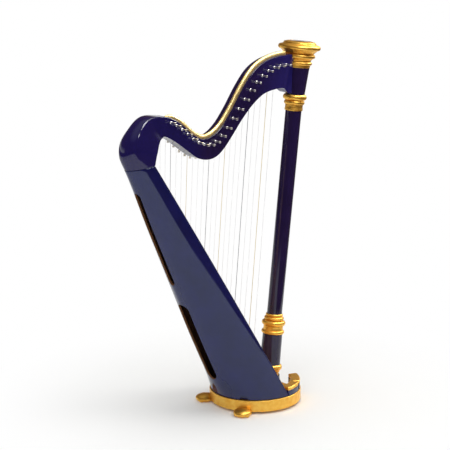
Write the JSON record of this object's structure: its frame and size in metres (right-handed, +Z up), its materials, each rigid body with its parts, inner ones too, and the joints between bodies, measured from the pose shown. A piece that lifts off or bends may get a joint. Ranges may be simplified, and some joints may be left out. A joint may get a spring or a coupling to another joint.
{
  "type": "lever harp",
  "caption": "Small upright lever harp: leaning soundbox with back sound holes, curved neck with tuning pins and sharping levers, column with crown, and a round base.",
  "frame": {"origin": "on the floor under the middle of the whole harp's bounding box", "axes": "+Z up, +X from the soundbox towards the column, +Y towards the side with the strings and levers"},
  "size_m": [0.5336, 0.206, 0.8078],
  "materials": {
    "lacquered_wood": "deep blue-violet high-gloss lacquer",
    "gilded_wood": "gilded, satin gloss",
    "string_nylon": "clear, red and black nylon on a wooden rib",
    "felt_pads": "pressed felt",
    "nickel_steel": "nickel-plated steel, polished",
    "lever_plastic": "moulded plastic"
  },
  "bodies": {
    "harp_frame": {"soundbox_shell": "lacquered_wood", "soundboard": "lacquered_wood", "shoulder_block": "lacquered_wood", "neck": "lacquered_wood", "column": "lacquered_wood", "crown_inlay": "lacquered_wood", "base_step": "lacquered_wood", "neck_bead": "gilded_wood", "crown": "gilded_wood", "upper_collar": "gilded_wood", "lower_collar": "gilded_wood", "column_foot_ring": "gilded_wood", "base_plinth": "gilded_wood", "back_foot_right": "gilded_wood", "back_foot_left": "gilded_wood", "strings_and_rib": "string_nylon", "front_glide_right": "felt_pads", "front_glide_left": "felt_pads"},
    "tuning_pin_01": {"tuning_pin_01": "nickel_steel"},
    "tuning_pin_02": {"tuning_pin_02": "nickel_steel"},
    "tuning_pin_03": {"tuning_pin_03": "nickel_steel"},
    "tuning_pin_04": {"tuning_pin_04": "nickel_steel"},
    "tuning_pin_05": {"tuning_pin_05": "nickel_steel"},
    "tuning_pin_06": {"tuning_pin_06": "nickel_steel"},
    "tuning_pin_07": {"tuning_pin_07": "nickel_steel"},
    "tuning_pin_08": {"tuning_pin_08": "nickel_steel"},
    "tuning_pin_09": {"tuning_pin_09": "nickel_steel"},
    "tuning_pin_10": {"tuning_pin_10": "nickel_steel"},
    "tuning_pin_11": {"tuning_pin_11": "nickel_steel"},
    "tuning_pin_12": {"tuning_pin_12": "nickel_steel"},
    "tuning_pin_13": {"tuning_pin_13": "nickel_steel"},
    "tuning_pin_14": {"tuning_pin_14": "nickel_steel"},
    "tuning_pin_15": {"tuning_pin_15": "nickel_steel"},
    "tuning_pin_16": {"tuning_pin_16": "nickel_steel"},
    "tuning_pin_17": {"tuning_pin_17": "nickel_steel"},
    "tuning_pin_18": {"tuning_pin_18": "nickel_steel"},
    "tuning_pin_19": {"tuning_pin_19": "nickel_steel"},
    "tuning_pin_20": {"tuning_pin_20": "nickel_steel"},
    "tuning_pin_21": {"tuning_pin_21": "nickel_steel"},
    "lever_01": {"lever_01": "lever_plastic"},
    "lever_02": {"lever_02": "lever_plastic"},
    "lever_03": {"lever_03": "lever_plastic"},
    "lever_04": {"lever_04": "lever_plastic"},
    "lever_05": {"lever_05": "lever_plastic"},
    "lever_06": {"lever_06": "lever_plastic"},
    "lever_07": {"lever_07": "lever_plastic"},
    "lever_08": {"lever_08": "lever_plastic"},
    "lever_09": {"lever_09": "lever_plastic"},
    "lever_10": {"lever_10": "lever_plastic"},
    "lever_11": {"lever_11": "lever_plastic"},
    "lever_12": {"lever_12": "lever_plastic"},
    "lever_13": {"lever_13": "lever_plastic"},
    "lever_14": {"lever_14": "lever_plastic"},
    "lever_15": {"lever_15": "lever_plastic"},
    "lever_16": {"lever_16": "lever_plastic"},
    "lever_17": {"lever_17": "lever_plastic"},
    "lever_18": {"lever_18": "lever_plastic"},
    "lever_19": {"lever_19": "lever_plastic"},
    "lever_20": {"lever_20": "lever_plastic"},
    "lever_21": {"lever_21": "lever_plastic"}
  },
  "joints": [
    {"name": "tuning_pin_01_turn", "type": "hinge", "parent": "harp_frame", "child": "tuning_pin_01", "pos_m": [0.16738, 0, 0.75841], "axis": [0, 1, 0], "continuous": true},
    {"name": "tuning_pin_02_turn", "type": "hinge", "parent": "harp_frame", "child": "tuning_pin_02", "pos_m": [0.14977, 0, 0.75809], "axis": [0, 1, 0], "continuous": true},
    {"name": "tuning_pin_03_turn", "type": "hinge", "parent": "harp_frame", "child": "tuning_pin_03", "pos_m": [0.13233, 0, 0.7558], "axis": [0, 1, 0], "continuous": true},
    {"name": "tuning_pin_04_turn", "type": "hinge", "parent": "harp_frame", "child": "tuning_pin_04", "pos_m": [0.11507, 0, 0.74977], "axis": [0, 1, 0], "continuous": true},
    {"name": "tuning_pin_05_turn", "type": "hinge", "parent": "harp_frame", "child": "tuning_pin_05", "pos_m": [0.09798, 0, 0.74027], "axis": [0, 1, 0], "continuous": true},
    {"name": "tuning_pin_06_turn", "type": "hinge", "parent": "harp_frame", "child": "tuning_pin_06", "pos_m": [0.08107, 0, 0.72784], "axis": [0, 1, 0], "continuous": true},
    {"name": "tuning_pin_07_turn", "type": "hinge", "parent": "harp_frame", "child": "tuning_pin_07", "pos_m": [0.06433, 0, 0.71247], "axis": [0, 1, 0], "continuous": true},
    {"name": "tuning_pin_08_turn", "type": "hinge", "parent": "harp_frame", "child": "tuning_pin_08", "pos_m": [0.04777, 0, 0.69408], "axis": [0, 1, 0], "continuous": true},
    {"name": "tuning_pin_09_turn", "type": "hinge", "parent": "harp_frame", "child": "tuning_pin_09", "pos_m": [0.03138, 0, 0.675], "axis": [0, 1, 0], "continuous": true},
    {"name": "tuning_pin_10_turn", "type": "hinge", "parent": "harp_frame", "child": "tuning_pin_10", "pos_m": [0.01517, 0, 0.65602], "axis": [0, 1, 0], "continuous": true},
    {"name": "tuning_pin_11_turn", "type": "hinge", "parent": "harp_frame", "child": "tuning_pin_11", "pos_m": [-0.00087, 0, 0.63781], "axis": [0, 1, 0], "continuous": true},
    {"name": "tuning_pin_12_turn", "type": "hinge", "parent": "harp_frame", "child": "tuning_pin_12", "pos_m": [-0.01673, 0, 0.62247], "axis": [0, 1, 0], "continuous": true},
    {"name": "tuning_pin_13_turn", "type": "hinge", "parent": "harp_frame", "child": "tuning_pin_13", "pos_m": [-0.03242, 0, 0.61202], "axis": [0, 1, 0], "continuous": true},
    {"name": "tuning_pin_14_turn", "type": "hinge", "parent": "harp_frame", "child": "tuning_pin_14", "pos_m": [-0.04793, 0, 0.60725], "axis": [0, 1, 0], "continuous": true},
    {"name": "tuning_pin_15_turn", "type": "hinge", "parent": "harp_frame", "child": "tuning_pin_15", "pos_m": [-0.06327, 0, 0.60839], "axis": [0, 1, 0], "continuous": true},
    {"name": "tuning_pin_16_turn", "type": "hinge", "parent": "harp_frame", "child": "tuning_pin_16", "pos_m": [-0.07843, 0, 0.61431], "axis": [0, 1, 0], "continuous": true},
    {"name": "tuning_pin_17_turn", "type": "hinge", "parent": "harp_frame", "child": "tuning_pin_17", "pos_m": [-0.09342, 0, 0.62388], "axis": [0, 1, 0], "continuous": true},
    {"name": "tuning_pin_18_turn", "type": "hinge", "parent": "harp_frame", "child": "tuning_pin_18", "pos_m": [-0.10823, 0, 0.63594], "axis": [0, 1, 0], "continuous": true},
    {"name": "tuning_pin_19_turn", "type": "hinge", "parent": "harp_frame", "child": "tuning_pin_19", "pos_m": [-0.12287, 0, 0.6472], "axis": [0, 1, 0], "continuous": true},
    {"name": "tuning_pin_20_turn", "type": "hinge", "parent": "harp_frame", "child": "tuning_pin_20", "pos_m": [-0.13733, 0, 0.65744], "axis": [0, 1, 0], "continuous": true},
    {"name": "tuning_pin_21_turn", "type": "hinge", "parent": "harp_frame", "child": "tuning_pin_21", "pos_m": [-0.15162, 0, 0.66486], "axis": [0, 1, 0], "continuous": true},
    {"name": "lever_01_flip", "type": "hinge", "parent": "harp_frame", "child": "lever_01", "pos_m": [0.16664, 0.02952, 0.71422], "axis": [0.993, 0, -0.1184], "range_deg": [0, 90]},
    {"name": "lever_02_flip", "type": "hinge", "parent": "harp_frame", "child": "lever_02", "pos_m": [0.14917, 0.02952, 0.71518], "axis": [0.993, 0, -0.1184], "range_deg": [0, 90]},
    {"name": "lever_03_flip", "type": "hinge", "parent": "harp_frame", "child": "lever_03", "pos_m": [0.13189, 0.02952, 0.71424], "axis": [0.993, 0, -0.1184], "range_deg": [0, 90]},
    {"name": "lever_04_flip", "type": "hinge", "parent": "harp_frame", "child": "lever_04", "pos_m": [0.11479, 0.02952, 0.7097], "axis": [0.993, 0, -0.1184], "range_deg": [0, 90]},
    {"name": "lever_05_flip", "type": "hinge", "parent": "harp_frame", "child": "lever_05", "pos_m": [0.09789, 0.02952, 0.70182], "axis": [0.993, 0, -0.1184], "range_deg": [0, 90]},
    {"name": "lever_06_flip", "type": "hinge", "parent": "harp_frame", "child": "lever_06", "pos_m": [0.08117, 0.02952, 0.69112], "axis": [0.993, 0, -0.1184], "range_deg": [0, 90]},
    {"name": "lever_07_flip", "type": "hinge", "parent": "harp_frame", "child": "lever_07", "pos_m": [0.06464, 0.02952, 0.67759], "axis": [0.993, 0, -0.1184], "range_deg": [0, 90]},
    {"name": "lever_08_flip", "type": "hinge", "parent": "harp_frame", "child": "lever_08", "pos_m": [0.0483, 0.02952, 0.66115], "axis": [0.993, 0, -0.1184], "range_deg": [0, 90]},
    {"name": "lever_09_flip", "type": "hinge", "parent": "harp_frame", "child": "lever_09", "pos_m": [0.03214, 0.02952, 0.64404], "axis": [0.993, 0, -0.1184], "range_deg": [0, 90]},
    {"name": "lever_10_flip", "type": "hinge", "parent": "harp_frame", "child": "lever_10", "pos_m": [0.01615, 0.02952, 0.62702], "axis": [0.993, 0, -0.1184], "range_deg": [0, 90]},
    {"name": "lever_11_flip", "type": "hinge", "parent": "harp_frame", "child": "lever_11", "pos_m": [0.00033, 0.02952, 0.61071], "axis": [0.993, 0, -0.1184], "range_deg": [0, 90]},
    {"name": "lever_12_flip", "type": "hinge", "parent": "harp_frame", "child": "lever_12", "pos_m": [-0.01533, 0.02952, 0.59715], "axis": [0.993, 0, -0.1184], "range_deg": [0, 90]},
    {"name": "lever_13_flip", "type": "hinge", "parent": "harp_frame", "child": "lever_13", "pos_m": [-0.03084, 0.02952, 0.58826], "axis": [0.993, 0, -0.1184], "range_deg": [0, 90]},
    {"name": "lever_14_flip", "type": "hinge", "parent": "harp_frame", "child": "lever_14", "pos_m": [-0.04621, 0.02952, 0.5848], "axis": [0.993, 0, -0.1184], "range_deg": [0, 90]},
    {"name": "lever_15_flip", "type": "hinge", "parent": "harp_frame", "child": "lever_15", "pos_m": [-0.06143, 0.02952, 0.58699], "axis": [0.993, 0, -0.1184], "range_deg": [0, 90]},
    {"name": "lever_16_flip", "type": "hinge", "parent": "harp_frame", "child": "lever_16", "pos_m": [-0.0765, 0.02952, 0.59376], "axis": [0.993, 0, -0.1184], "range_deg": [0, 90]},
    {"name": "lever_17_flip", "type": "hinge", "parent": "harp_frame", "child": "lever_17", "pos_m": [-0.09142, 0.02952, 0.60401], "axis": [0.993, 0, -0.1184], "range_deg": [0, 90]},
    {"name": "lever_18_flip", "type": "hinge", "parent": "harp_frame", "child": "lever_18", "pos_m": [-0.10617, 0.02952, 0.61664], "axis": [0.993, 0, -0.1184], "range_deg": [0, 90]},
    {"name": "lever_19_flip", "type": "hinge", "parent": "harp_frame", "child": "lever_19", "pos_m": [-0.12075, 0.02952, 0.62848], "axis": [0.993, 0, -0.1184], "range_deg": [0, 90]},
    {"name": "lever_20_flip", "type": "hinge", "parent": "harp_frame", "child": "lever_20", "pos_m": [-0.13515, 0.02952, 0.63934], "axis": [0.993, 0, -0.1184], "range_deg": [0, 90]},
    {"name": "lever_21_flip", "type": "hinge", "parent": "harp_frame", "child": "lever_21", "pos_m": [-0.14936, 0.02952, 0.64748], "axis": [0.993, 0, -0.1184], "range_deg": [0, 90]}
  ]
}
